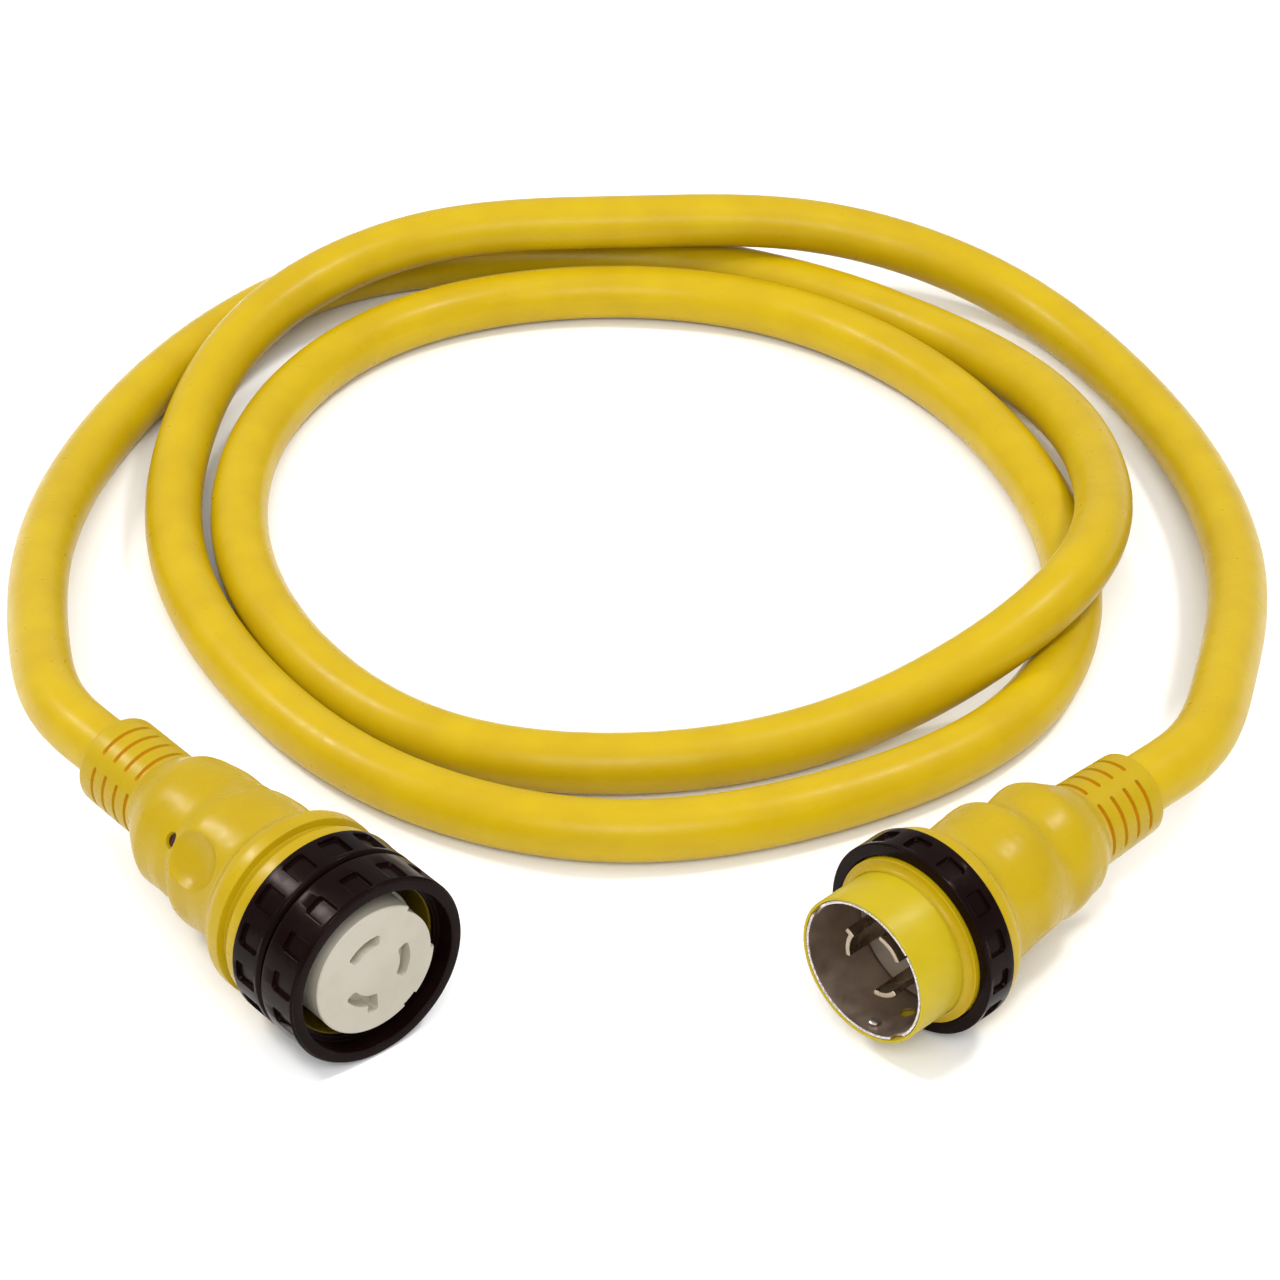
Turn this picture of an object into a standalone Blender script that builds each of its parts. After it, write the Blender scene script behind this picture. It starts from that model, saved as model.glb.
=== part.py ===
"""Shore power cord: a locking female connector, a locking male plug and the cable between them.

World frame in metres, +Z up, floor at Z = 0. The origin is under the middle of the two fittings, and the
coiled cable lies behind them, toward +Y. Each fitting is modelled along its own axis: local +Z runs from the
cable end of the strain relief to the mouth, and local +X is up once the fitting lies on the floor.
Lengths inside the fitting functions are in millimetres and go through mm().
"""

import math

import bmesh
import bpy
from mathutils import Matrix, Vector

# ---- driving dimensions, millimetres and degrees ----
CABLE_RADIUS = 12.5
FLOOR_GAP = 0.3
TOUCH_GAP = 0.3

CONNECTOR_REAR = (-195.3, 71.1)  # cable end of the strain relief, on the floor plan
CONNECTOR_YAW = -50.0
CONNECTOR_AXIS_HEIGHT = 39.2
CONNECTOR_LENGTH = 168.5
PLUG_REAR = (197.6, 49.5)
PLUG_YAW = -135.3
PLUG_AXIS_HEIGHT = 39.3
PLUG_LENGTH = 152.3

RING_RADIUS = 38.9  # connector rings, outside their grip pockets
POCKET_FLOOR = 37.35
COLLAR_LIP_RADIUS = 38.2
COLLAR_MOUTH_RADIUS = 33.9
COLLAR_FLANGE_RADIUS = 31.6
NECK_RADIUS = 35.9
SOCKET_RADIUS = 31.2
INSERT_RADIUS = 26.6
INSERT_FACE = 167.3
PLUG_RING_RADIUS = 39.2
PLUG_POCKET_FLOOR = 37.7
SLEEVE_RADIUS = 29.7
SHELL_RADIUS = 28.2
SHELL_BORE_RADIUS = 27.2
BLADE_CIRCLE = 13.2
BLADE_HALF_ANGLE = 25.0
BLADE_TIP = 146.0
BASE_FACE = 124.0
CONNECTOR_SLOT_ANGLES = (147.0, 263.0, 21.0)  # line, neutral, ground: the plug's, seen from the other side
PLUG_BLADE_ANGLES = (82.0, -34.0, -152.0)
POCKET_COUNT = 15
INDICATOR_ANGLE = 58.0
INDICATOR_HEIGHT = 71.5
CONNECTOR_SCALLOP_HEIGHT = 88.0
PLUG_SCALLOP_HEIGHT = 80.0
PLUG_SCALLOP_ANGLE = 240.0
SHELL_WINDOW = (-164.5, 134.0)  # angle, height
SHELL_RIVET = (-176.0, 146.3)
CONNECTOR_SLOT_ROWS = (9.3, 16.6, 24.0, 31.4)
PLUG_SLOT_ROWS = (8.3, 15.9, 23.4, 30.9)

TURN_STEPS = 48  # sliding fits
RING_STEPS = 60
BOOT_STEPS = 36
SMALL_STEPS = 16

# Centreline of the cable between the two straight ends: two and three quarter turns.
# Where strands cross, the upper one rides one diameter above the lower.
ROUTE = (
    (-237, 155, 33), (-247, 248, 22), (-235, 342, 14), (-197, 429, 13), (-131, 496, 13), (-40, 515, 13),
    (54, 500, 13), (135, 451, 13), (191, 374, 21), (209, 283, 32), (184, 190, 39), (112, 138, 18),
    (23, 106, 13), (-69, 118, 13), (-135, 184, 13), (-166, 273, 13), (-159, 367, 13), (-110, 445, 13),
    (-23, 480, 13), (69, 465, 13), (140, 404, 13), (181, 320, 13), (193, 227, 13), (165, 140, 13),
    (90, 82, 13), (-1, 60, 13), (-89, 91, 13), (-153, 162, 13), (-190, 249, 13), (-196, 343, 16),
    (-167, 432, 28), (-95, 486, 39), (2, 499, 41), (93, 503, 36), (172, 477, 22), (229, 402, 14),
    (257, 312, 16), (261, 219, 24), (243, 126, 35),
)
CABLE_POINTS = 76


def mm(value):
    return value / 1000.0


def clear_scene():
    for obj in list(bpy.data.objects):
        bpy.data.objects.remove(obj, do_unlink=True)


def new_collection(name):
    collection = bpy.data.collections.new(name)
    bpy.context.scene.collection.children.link(collection)
    return collection


def make_material(name, colour, roughness, metallic=0.0):
    material = bpy.data.materials.new(name)
    material.use_nodes = True
    shader = material.node_tree.nodes["Principled BSDF"]
    shader.inputs["Base Color"].default_value = (*colour, 1.0)
    shader.inputs["Roughness"].default_value = roughness
    shader.inputs["Metallic"].default_value = metallic
    return material


clear_scene()
PARTS = new_collection("shore_power_cord")
CUTTERS = new_collection("cutters")


def fitting_axis(name, rear, yaw, height):
    """Empty at the strain relief's cable end, its +Z along the fitting and its +X up."""
    empty = bpy.data.objects.new(name, None)
    turn = Matrix.Rotation(math.radians(yaw), 4, "Z")
    lay = Matrix.Rotation(math.radians(90), 4, "Y") @ Matrix.Rotation(math.radians(180), 4, "Z")
    empty.matrix_world = Matrix.Translation((mm(rear[0]), mm(rear[1]), mm(height))) @ turn @ lay
    PARTS.objects.link(empty)
    return empty


CONNECTOR = fitting_axis("connector_axis", CONNECTOR_REAR, CONNECTOR_YAW, CONNECTOR_AXIS_HEIGHT)
PLUG = fitting_axis("plug_axis", PLUG_REAR, PLUG_YAW, PLUG_AXIS_HEIGHT)


def place(obj, parent, colour):
    """Link a piece under its fitting's axis and give it a material of its own."""
    PARTS.objects.link(obj)
    obj.parent = parent
    obj.data.materials.clear()
    obj.data.materials.append(make_material(obj.name + "_material", *colour))
    return obj


def smooth(obj, angle=40.0):
    obj.data.shade_smooth()
    obj.data.set_sharp_from_angle(angle=math.radians(angle))


def outline_object(name, profile, closed):
    mesh = bpy.data.meshes.new(name)
    points = [(mm(radius), 0.0, mm(height)) for radius, height in profile]
    edges = [(i, i + 1) for i in range(len(points) - 1)]
    if closed:
        edges.append((len(points) - 1, 0))
    mesh.from_pydata(points, edges, [])
    return bpy.data.objects.new(name, mesh)


def turned(name, profile, closed=True, steps=TURN_STEPS):
    """Body of revolution about Z from (radius, height) points that run down the outer side."""
    obj = outline_object(name, profile, closed)
    screw = obj.modifiers.new("turn", "SCREW")
    screw.axis = "Z"
    screw.angle = math.tau
    screw.steps = steps
    screw.render_steps = steps
    screw.use_merge_vertices = True
    screw.merge_threshold = 1e-5
    screw.use_smooth_shade = True
    return obj


def polar(radius, angle):
    return (radius * math.cos(math.radians(angle)), radius * math.sin(math.radians(angle)))


def arc_outline(inner, outer, start, end, hook=0.0, steps=8):
    """Corner points of a curved bar. A hook turns its end outward."""
    bend = end
    if hook:
        bend = end - math.copysign(math.degrees((outer - inner) / outer), end - start)
    outline = [polar(outer, start + (bend - start) * i / steps) for i in range(steps + 1)]
    if hook:
        outline.append(polar(outer + hook, bend))
        outline.append(polar(outer + hook, end))
    outline += [polar(inner, end - (end - start) * i / steps) for i in range(steps + 1)]
    return outline


def extruded(name, outlines, low, high):
    """Closed mesh of flat outlines, given a thickness from low to high along local Z."""
    curve = bpy.data.curves.new(name, "CURVE")
    curve.dimensions = "2D"
    curve.fill_mode = "BOTH"
    curve.extrude = mm(high - low) / 2
    for outline in outlines:
        spline = curve.splines.new("POLY")
        spline.points.add(len(outline) - 1)
        for point, (x, y) in zip(spline.points, outline):
            point.co = (mm(x), mm(y), 0.0, 1.0)
        spline.use_cyclic_u = True
    flat = bpy.data.objects.new(name + "_outline", curve)
    bpy.context.scene.collection.objects.link(flat)
    graph = bpy.context.evaluated_depsgraph_get()
    mesh = bpy.data.meshes.new_from_object(flat.evaluated_get(graph))
    bpy.data.objects.remove(flat, do_unlink=True)
    body = bmesh.new()
    body.from_mesh(mesh)
    bmesh.ops.remove_doubles(body, verts=body.verts, dist=1e-6)
    bmesh.ops.translate(body, verts=body.verts, vec=(0.0, 0.0, mm(low + high) / 2))
    bmesh.ops.recalc_face_normals(body, faces=body.faces)
    body.to_mesh(mesh)
    body.free()
    return bpy.data.objects.new(name, mesh)


def rod(name, radius, low, high, centre=(0.0, 0.0), turn=None, segments=SMALL_STEPS):
    """Cylinder along local Z, or turned by a matrix about its own origin."""
    body = bmesh.new()
    bmesh.ops.create_cone(
        body, cap_ends=True, segments=segments, radius1=mm(radius), radius2=mm(radius), depth=mm(high - low)
    )
    bmesh.ops.translate(body, verts=body.verts, vec=(0.0, 0.0, mm(low + high) / 2))
    if turn is not None:
        bmesh.ops.transform(body, matrix=turn, verts=body.verts)
    bmesh.ops.translate(body, verts=body.verts, vec=(mm(centre[0]), mm(centre[1]), 0.0))
    mesh = bpy.data.meshes.new(name)
    body.to_mesh(mesh)
    body.free()
    return bpy.data.objects.new(name, mesh)


def combine(obj, tool, operation, parent):
    """Boolean modifier on obj with a hidden tool that lies in the same fitting's frame."""
    CUTTERS.objects.link(tool)
    tool.parent = parent
    tool.hide_render = True
    tool.display_type = "WIRE"
    modifier = obj.modifiers.new(tool.name, "BOOLEAN")
    modifier.operation = operation
    modifier.solver = "EXACT"
    modifier.object = tool
    return modifier


def around(count, first=0.0):
    return [first + 360.0 * i / count for i in range(count)]


def radial_rod(name, radius, low, high, angle, height):
    """Cylinder that points straight out from the axis, from radius low to radius high."""
    aim = Matrix.Rotation(math.radians(angle), 4, "Z") @ Matrix.Rotation(math.radians(90), 4, "Y")
    obj = rod(name, radius, low, high, turn=aim)
    obj.data.transform(Matrix.Translation((0.0, 0.0, mm(height))))
    return obj


def smooth_route(points, count):
    """Evenly spaced points on a smooth curve through the route's own points."""
    knots = [Vector(p) for p in points]
    spans = [(b - a).length for a, b in zip(knots, knots[1:])]
    slopes = [(b - a) / span for a, b, span in zip(knots, knots[1:], spans)]
    tangents = [slopes[0]]
    for i in range(1, len(knots) - 1):
        share = spans[i - 1] / (spans[i - 1] + spans[i])
        tangents.append(slopes[i] * share + slopes[i - 1] * (1 - share))
    tangents.append(slopes[-1])
    fine = []
    for i, span in enumerate(spans):
        for step in range(24):
            t = step / 24
            fine.append(
                knots[i] * (2 * t ** 3 - 3 * t ** 2 + 1)
                + tangents[i] * span * (t ** 3 - 2 * t ** 2 + t)
                + knots[i + 1] * (3 * t ** 2 - 2 * t ** 3)
                + tangents[i + 1] * span * (t ** 3 - t ** 2)
            )
    fine.append(knots[-1])
    lengths = [0.0]
    for a, b in zip(fine, fine[1:]):
        lengths.append(lengths[-1] + (b - a).length)
    spaced = []
    j = 0
    for i in range(count):
        target = lengths[-1] * i / (count - 1)
        while j < len(fine) - 2 and lengths[j + 1] < target:
            j += 1
        step = lengths[j + 1] - lengths[j]
        point = fine[j].lerp(fine[j + 1], (target - lengths[j]) / step)
        point.z = max(point.z, CABLE_RADIUS + FLOOR_GAP)
        spaced.append(point)
    return spaced


def tube(name, points, radius, resolution):
    """Round bar along points, as a curve with a bevel and filled caps."""
    curve = bpy.data.curves.new(name, "CURVE")
    curve.dimensions = "3D"
    curve.bevel_depth = mm(radius)
    curve.bevel_resolution = resolution
    curve.use_fill_caps = True
    spline = curve.splines.new("POLY")
    spline.points.add(len(points) - 1)
    for point, co in zip(spline.points, points):
        point.co = (mm(co[0]), mm(co[1]), mm(co[2]), 1.0)
    return bpy.data.objects.new(name, curve)


# ---- materials: colour, roughness, metallic ----
YELLOW = ((0.80, 0.50, 0.015), 0.42)
CABLE_YELLOW = ((0.78, 0.47, 0.012), 0.45)
SLEEVE_YELLOW = ((0.72, 0.50, 0.02), 0.35)
BLACK = ((0.012, 0.010, 0.011), 0.30)
IVORY = ((0.82, 0.76, 0.62), 0.45)
NICKEL = ((0.42, 0.38, 0.34), 0.35, 1.0)
BRASS = ((0.70, 0.52, 0.25), 0.32, 1.0)
RUBBER = ((0.02, 0.02, 0.02), 0.7)
LENS = ((0.16, 0.01, 0.01), 0.12)
WIRE_COLOURS = {
    "line": ((0.02, 0.02, 0.02), 0.5),
    "neutral": ((0.80, 0.80, 0.78), 0.5),
    "ground": ((0.03, 0.30, 0.08), 0.5),
}
WIRES = ("line", "neutral", "ground")


def cut_relief_slots(boot, parent, rows, radius, first_angle):
    """Rows of four short slots round the strain relief, so that it bends with the cable."""
    for row, height in enumerate(rows):
        outlines = []
        for middle in around(4, first_angle):
            outlines.append(arc_outline(radius - 2.4, radius + 3.0, middle - 33.0, middle + 33.0, steps=4))
        tool = extruded(f"{boot.name}_slots_{row}", outlines, height - 0.65, height + 0.65)
        combine(boot, tool, "DIFFERENCE", parent)


def cut_scallop(boot, parent, height, angle, floor, radius, width):
    """Thumb hollow cut by a short cylinder that reaches in to the floor radius."""
    turn = Matrix.Rotation(math.radians(90), 4, "X")
    tool = rod(f"{boot.name}_scallop", radius, -width, width, turn=turn, segments=24)
    tool.data.transform(Matrix.Translation((mm(floor + radius), 0.0, mm(height))))
    tool.data.transform(Matrix.Rotation(math.radians(angle), 4, "Z"))
    combine(boot, tool, "DIFFERENCE", parent)


def cut_pockets(ring, parent, floor, low, high, first, half_angle):
    """Shallow grip pockets round a ring."""
    outlines = [
        arc_outline(floor, floor + 5.0, middle - half_angle, middle + half_angle, steps=2)
        for middle in around(POCKET_COUNT, first)
    ]
    combine(ring, extruded(ring.name + "_pockets", outlines, low, high), "DIFFERENCE", parent)


def conductor(name, parent, angle, end_height, colour):
    """Insulated conductor: leaves the middle of the cable and fans out to its terminal."""
    wire_radius = 3.3
    start_height = 41.0
    points = []
    for i in range(9):
        t = i / 8
        ease = t * t * (3 - 2 * t)
        x, y = polar(4.3 + (BLADE_CIRCLE - 4.3) * ease, angle)
        points.append((x, y, start_height + (end_height - start_height) * t))
    return place(tube(name, points, wire_radius, 2), parent, colour)


def terminal(name, parent, angle, low, high):
    """Crimp barrel that joins a conductor to its contact."""
    profile = [(2.5, low), (2.5, high), (4.0, high), (4.0, low)]
    obj = turned(name, profile, steps=SMALL_STEPS)
    x, y = polar(BLADE_CIRCLE, angle)
    place(obj, parent, BRASS)
    obj.location = (mm(x), mm(y), 0.0)
    return obj


def build_connector():
    boot = turned(
        "connector_boot",
        [
            (0.0, 38.0), (9.0, 40.0), (14.0, 47.0), (18.5, 58.0), (18.5, 88.0), (24.0, 98.0), (24.5, 117.0),
            (SOCKET_RADIUS, 117.0), (SOCKET_RADIUS, 131.0), (36.9, 131.0), (37.3, 130.5), (37.3, 125.4),
            (36.8, 124.9), (34.9, 124.6), (34.9, 120.9), (37.7, 120.5), (38.2, 119.9), (38.2, 115.2),
            (37.6, 113.3), (35.7, 110.2), (33.5, 107.6), (31.3, 105.4), (30.6, 102.0), (30.6, 92.0),
            (30.5, 84.0), (30.4, 79.5), (29.2, 76.4), (27.9, 73.4), (27.7, 70.0), (27.8, 60.0),
            (27.5, 53.5), (26.5, 49.0), (24.9, 45.0), (22.4, 40.2), (20.5, 36.6), (19.2, 34.3),
            (18.9, 33.2), (18.9, 1.2), (17.9, 0.0), (0.0, 0.0),
        ],
        closed=False,
        steps=BOOT_STEPS,
    )
    place(boot, CONNECTOR, YELLOW)
    cut_relief_slots(boot, CONNECTOR, CONNECTOR_SLOT_ROWS, 18.9, 5.0)
    cut_scallop(boot, CONNECTOR, CONNECTOR_SCALLOP_HEIGHT, INDICATOR_ANGLE, 25.3, 16.0, 11.0)
    window = radial_rod("connector_boot_window", 2.9, 16.0, 32.0, INDICATOR_ANGLE, INDICATOR_HEIGHT)
    combine(boot, window, "DIFFERENCE", CONNECTOR)

    neck = turned(
        "connector_neck",
        [
            (SOCKET_RADIUS, 131.3), (SOCKET_RADIUS, 157.6), (31.6, 158.0), (35.5, 158.0),
            (NECK_RADIUS, 157.6), (NECK_RADIUS, 131.3),
        ],
    )
    place(neck, CONNECTOR, YELLOW)

    lens = radial_rod("indicator_lens", 2.6, 23.6, 26.6, INDICATOR_ANGLE, INDICATOR_HEIGHT)
    place(lens, CONNECTOR, LENS)
    smooth(lens)
    lamp = radial_rod("indicator_lamp", 1.6, 19.6, 23.3, INDICATOR_ANGLE, INDICATOR_HEIGHT)
    place(lamp, CONNECTOR, IVORY)
    smooth(lamp)

    insert = turned(
        "connector_insert",
        [
            (0.0, INSERT_FACE), (INSERT_RADIUS - 0.8, INSERT_FACE), (INSERT_RADIUS, INSERT_FACE - 0.8),
            (INSERT_RADIUS, 126.0), (30.9, 126.0), (30.9, 117.3), (0.0, 117.3),
        ],
        closed=False,
    )
    place(insert, CONNECTOR, IVORY)
    slot_outlines = []
    for wire, angle in zip(WIRES, CONNECTOR_SLOT_ANGLES):
        hook = 2.0 if wire == "line" else 0.0
        start = angle - BLADE_HALF_ANGLE - 4.0
        end = angle + BLADE_HALF_ANGLE + 4.0
        slot_outlines.append(arc_outline(BLADE_CIRCLE - 2.1, BLADE_CIRCLE + 2.1, start, end, hook))
    combine(insert, extruded("connector_insert_slots", slot_outlines, 135.0, 170.0), "DIFFERENCE", CONNECTOR)
    key_outline = arc_outline(24.9, 30.0, -95.0, -37.0)
    combine(insert, extruded("connector_insert_key", [key_outline], 148.0, 170.0), "DIFFERENCE", CONNECTOR)
    notch_outline = arc_outline(25.0, 30.0, -152.0, -139.0, steps=2)
    notch = extruded("connector_insert_notch", [notch_outline], 138.0, 170.0)
    combine(insert, notch, "DIFFERENCE", CONNECTOR)
    for wire, angle in zip(WIRES, CONNECTOR_SLOT_ANGLES):
        hole = rod(f"connector_insert_hole_{wire}", 2.6, 115.0, 137.4, centre=polar(BLADE_CIRCLE, angle))
        combine(insert, hole, "DIFFERENCE", CONNECTOR)

    clip = extruded(
        "ground_clip", [arc_outline(25.3, 26.4, -150.5, -140.5, steps=2)], 138.3, INSERT_FACE - 1.0
    )
    place(clip, CONNECTOR, NICKEL)

    for wire, angle in zip(WIRES, CONNECTOR_SLOT_ANGLES):
        contact = extruded(
            f"connector_contact_{wire}",
            [arc_outline(BLADE_CIRCLE + 0.2, BLADE_CIRCLE + 1.4, angle - 24.0, angle + 24.0, steps=6)],
            135.4, 158.0,
        )
        place(contact, CONNECTOR, BRASS)
        post = rod(f"{contact.name}_post", 2.2, 106.0, 137.0, centre=polar(BLADE_CIRCLE, angle))
        combine(contact, post, "UNION", CONNECTOR)
        terminal(f"connector_terminal_{wire}", CONNECTOR, angle, 98.0, 114.0)
        conductor(f"connector_conductor_{wire}", CONNECTOR, angle, 97.6, WIRE_COLOURS[wire])

    gasket = turned("socket_gasket", [(27.0, 126.4), (27.0, 128.4), (30.8, 128.4), (30.8, 126.4)])
    place(gasket, CONNECTOR, RUBBER)

    lock_ring = turned(
        "connector_lock_ring",
        [
            (36.3, 131.4), (36.3, 147.6), (38.3, 147.6), (RING_RADIUS, 147.0), (RING_RADIUS, 132.0),
            (38.3, 131.4),
        ],
        steps=RING_STEPS,
    )
    place(lock_ring, CONNECTOR, BLACK)
    cut_pockets(lock_ring, CONNECTOR, POCKET_FLOOR, 134.0, 144.6, 66.0, 7.0)

    collar = turned(
        "sealing_collar",
        [
            (36.3, 148.6), (36.3, 158.6), (COLLAR_FLANGE_RADIUS, 158.6), (COLLAR_FLANGE_RADIUS, 160.6),
            (COLLAR_MOUTH_RADIUS, 160.6), (COLLAR_MOUTH_RADIUS, 168.0), (34.4, CONNECTOR_LENGTH),
            (37.9, CONNECTOR_LENGTH), (COLLAR_LIP_RADIUS, 168.2), (COLLAR_LIP_RADIUS, 167.4), (38.6, 167.4),
            (RING_RADIUS, 167.1), (RING_RADIUS, 149.2), (38.3, 148.6),
        ],
        steps=RING_STEPS,
    )
    place(collar, CONNECTOR, BLACK)
    cut_pockets(collar, CONNECTOR, POCKET_FLOOR, 156.0, 166.9, 76.6, 6.0)


def build_plug():
    boot = turned(
        "plug_boot",
        [
            (0.0, 38.0), (9.0, 40.0), (14.0, 47.0), (18.0, 56.0), (18.0, 74.0), (23.0, 84.0), (24.0, 104.0),
            (30.1, 104.0), (30.1, 128.6), (30.9, 127.9), (33.2, 127.9), (33.7, 127.3), (33.7, 112.6),
            (37.1, 112.3), (37.5, 111.8), (37.5, 109.6), (37.1, 107.6), (36.1, 105.8), (33.7, 103.7),
            (31.4, 102.0), (30.1, 98.5), (29.8, 91.0), (29.9, 87.0), (30.4, 82.5), (30.0, 76.0),
            (29.4, 73.0), (28.0, 70.0), (26.6, 66.6), (26.1, 63.0), (26.6, 58.4), (26.9, 54.0),
            (26.6, 49.8), (25.3, 46.0), (23.4, 41.4), (20.8, 36.8), (18.8, 33.8), (18.2, 32.6),
            (17.4, 1.2), (16.4, 0.0), (0.0, 0.0),
        ],
        closed=False,
        steps=BOOT_STEPS,
    )
    place(boot, PLUG, YELLOW)
    cut_relief_slots(boot, PLUG, PLUG_SLOT_ROWS, 17.9, 25.0)
    cut_scallop(boot, PLUG, PLUG_SCALLOP_HEIGHT, PLUG_SCALLOP_ANGLE, 25.3, 36.0, 20.0)

    sleeve = turned(
        "plug_sleeve",
        [
            (28.5, 104.4), (28.5, 151.9), (28.9, PLUG_LENGTH), (29.3, PLUG_LENGTH), (SLEEVE_RADIUS, 151.9),
            (SLEEVE_RADIUS, 104.4),
        ],
    )
    place(sleeve, PLUG, SLEEVE_YELLOW)

    shell = turned(
        "plug_shell",
        [
            (SHELL_BORE_RADIUS, 112.0), (SHELL_BORE_RADIUS, 152.0),
            (SHELL_RADIUS, 152.0), (SHELL_RADIUS, 112.0),
        ],
    )
    place(shell, PLUG, NICKEL)
    notch_outlines = [
        arc_outline(SHELL_BORE_RADIUS - 2, SHELL_RADIUS + 2, middle - half, middle + half, steps=2)
        for middle, half in ((58.0, 7.0), (-48.0, 0.8), (-140.0, 8.0))
    ]
    combine(shell, extruded("plug_shell_notches", notch_outlines, 149.5, 156.0), "DIFFERENCE", PLUG)
    window = radial_rod("plug_shell_window", 3.0, 24.0, 31.0, *SHELL_WINDOW)
    combine(shell, window, "DIFFERENCE", PLUG)
    rivet_hole = radial_rod("plug_shell_rivet_hole", 1.3, 24.0, 31.0, *SHELL_RIVET)
    combine(shell, rivet_hole, "DIFFERENCE", PLUG)
    rivet = radial_rod("shell_rivet", 1.0, 26.0, 28.2, *SHELL_RIVET)
    head = radial_rod("shell_rivet_head", 2.2, 25.6, 26.8, *SHELL_RIVET)
    place(rivet, PLUG, NICKEL)
    combine(rivet, head, "UNION", PLUG)

    base = turned(
        "plug_base",
        [(0.0, BASE_FACE), (26.9, BASE_FACE), (26.9, 111.7), (28.2, 111.7), (28.2, 104.3), (0.0, 104.3)],
        closed=False,
    )
    place(base, PLUG, IVORY)
    outlines = []
    for wire, angle in zip(WIRES, PLUG_BLADE_ANGLES):
        hook = 2.0 if wire == "line" else 0.0
        start = angle + BLADE_HALF_ANGLE + 1.5
        end = angle - BLADE_HALF_ANGLE - 1.5
        outlines.append(arc_outline(BLADE_CIRCLE - 1.35, BLADE_CIRCLE + 1.35, start, end, hook))
    combine(base, extruded("plug_base_slots", outlines, 100.0, 132.0), "DIFFERENCE", PLUG)

    for wire, angle in zip(WIRES, PLUG_BLADE_ANGLES):
        hook = 2.0 if wire == "line" else 0.0
        start = angle + BLADE_HALF_ANGLE
        end = angle - BLADE_HALF_ANGLE
        blade = extruded(
            f"plug_blade_{wire}",
            [arc_outline(BLADE_CIRCLE - 1.0, BLADE_CIRCLE + 1.0, start, end, hook)],
            98.0, BLADE_TIP,
        )
        place(blade, PLUG, NICKEL)
        post = rod(f"{blade.name}_post", 2.2, 86.0, 99.5, centre=polar(BLADE_CIRCLE, angle))
        combine(blade, post, "UNION", PLUG)
        terminal(f"plug_terminal_{wire}", PLUG, angle, 79.0, 94.0)
        conductor(f"plug_conductor_{wire}", PLUG, angle, 78.6, WIRE_COLOURS[wire])

    lock_ring = turned(
        "plug_lock_ring",
        [
            (34.1, 112.8), (34.1, 125.8), (34.6, 126.4), (38.6, 126.4), (PLUG_RING_RADIUS, 125.8),
            (PLUG_RING_RADIUS, 113.4), (38.6, 112.8),
        ],
        steps=RING_STEPS,
    )
    place(lock_ring, PLUG, BLACK)
    cut_pockets(lock_ring, PLUG, PLUG_POCKET_FLOOR, 116.6, 124.1, 293.25, 6.75)


def behind(rear, yaw, height, distance):
    """Point on a fitting's axis, this far behind its strain relief."""
    step_x, step_y = polar(distance, yaw)
    return (rear[0] - step_x, rear[1] - step_y, height)


def build_cable():
    route = [behind(CONNECTOR_REAR, CONNECTOR_YAW, CONNECTOR_AXIS_HEIGHT, d) for d in (TOUCH_GAP, 32.0)]
    route += ROUTE
    route += [behind(PLUG_REAR, PLUG_YAW, PLUG_AXIS_HEIGHT, d) for d in (32.0, TOUCH_GAP)]
    points = smooth_route(route, CABLE_POINTS)
    # A short straight stub keeps each end cap square to its strain relief.
    points.insert(1, Vector(behind(CONNECTOR_REAR, CONNECTOR_YAW, CONNECTOR_AXIS_HEIGHT, 12.0)))
    points.insert(-1, Vector(behind(PLUG_REAR, PLUG_YAW, PLUG_AXIS_HEIGHT, 12.0)))
    cable = tube("cable", [tuple(p) for p in points], CABLE_RADIUS, 4)
    place(cable, None, CABLE_YELLOW)


build_connector()
build_plug()
build_cable()
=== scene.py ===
"""Looks for the shore power cord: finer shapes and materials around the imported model, light, floor and camera.

Everything is in metres in the world, and in millimetres inside a fitting's own frame: its height runs from the
cable end of the strain relief to the mouth, and its angles are counted from straight up.
"""

import math

import bmesh
import bpy
import numpy as np
from mathutils import Matrix, Vector


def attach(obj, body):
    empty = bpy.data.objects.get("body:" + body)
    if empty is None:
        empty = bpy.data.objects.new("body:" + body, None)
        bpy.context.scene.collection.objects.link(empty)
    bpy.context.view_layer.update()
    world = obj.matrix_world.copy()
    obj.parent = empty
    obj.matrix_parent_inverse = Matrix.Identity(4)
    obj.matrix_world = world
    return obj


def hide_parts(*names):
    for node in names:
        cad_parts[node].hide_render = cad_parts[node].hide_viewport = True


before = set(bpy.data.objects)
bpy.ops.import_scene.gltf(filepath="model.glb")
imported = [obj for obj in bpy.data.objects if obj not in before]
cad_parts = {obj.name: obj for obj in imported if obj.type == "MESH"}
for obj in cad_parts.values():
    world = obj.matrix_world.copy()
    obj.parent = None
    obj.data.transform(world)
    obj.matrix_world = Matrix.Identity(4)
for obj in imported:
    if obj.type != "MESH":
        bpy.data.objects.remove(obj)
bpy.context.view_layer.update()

# ---- the cord's own sizes, millimetres and degrees, as in part.py ----
CABLE_RADIUS = 12.5
FLOOR_GAP = 0.3
TOUCH_GAP = 0.3
CONNECTOR_REAR, CONNECTOR_YAW, CONNECTOR_AXIS_HEIGHT = (-195.3, 71.1), -50.0, 39.2
PLUG_REAR, PLUG_YAW, PLUG_AXIS_HEIGHT = (197.6, 49.5), -135.3, 39.3
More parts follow.
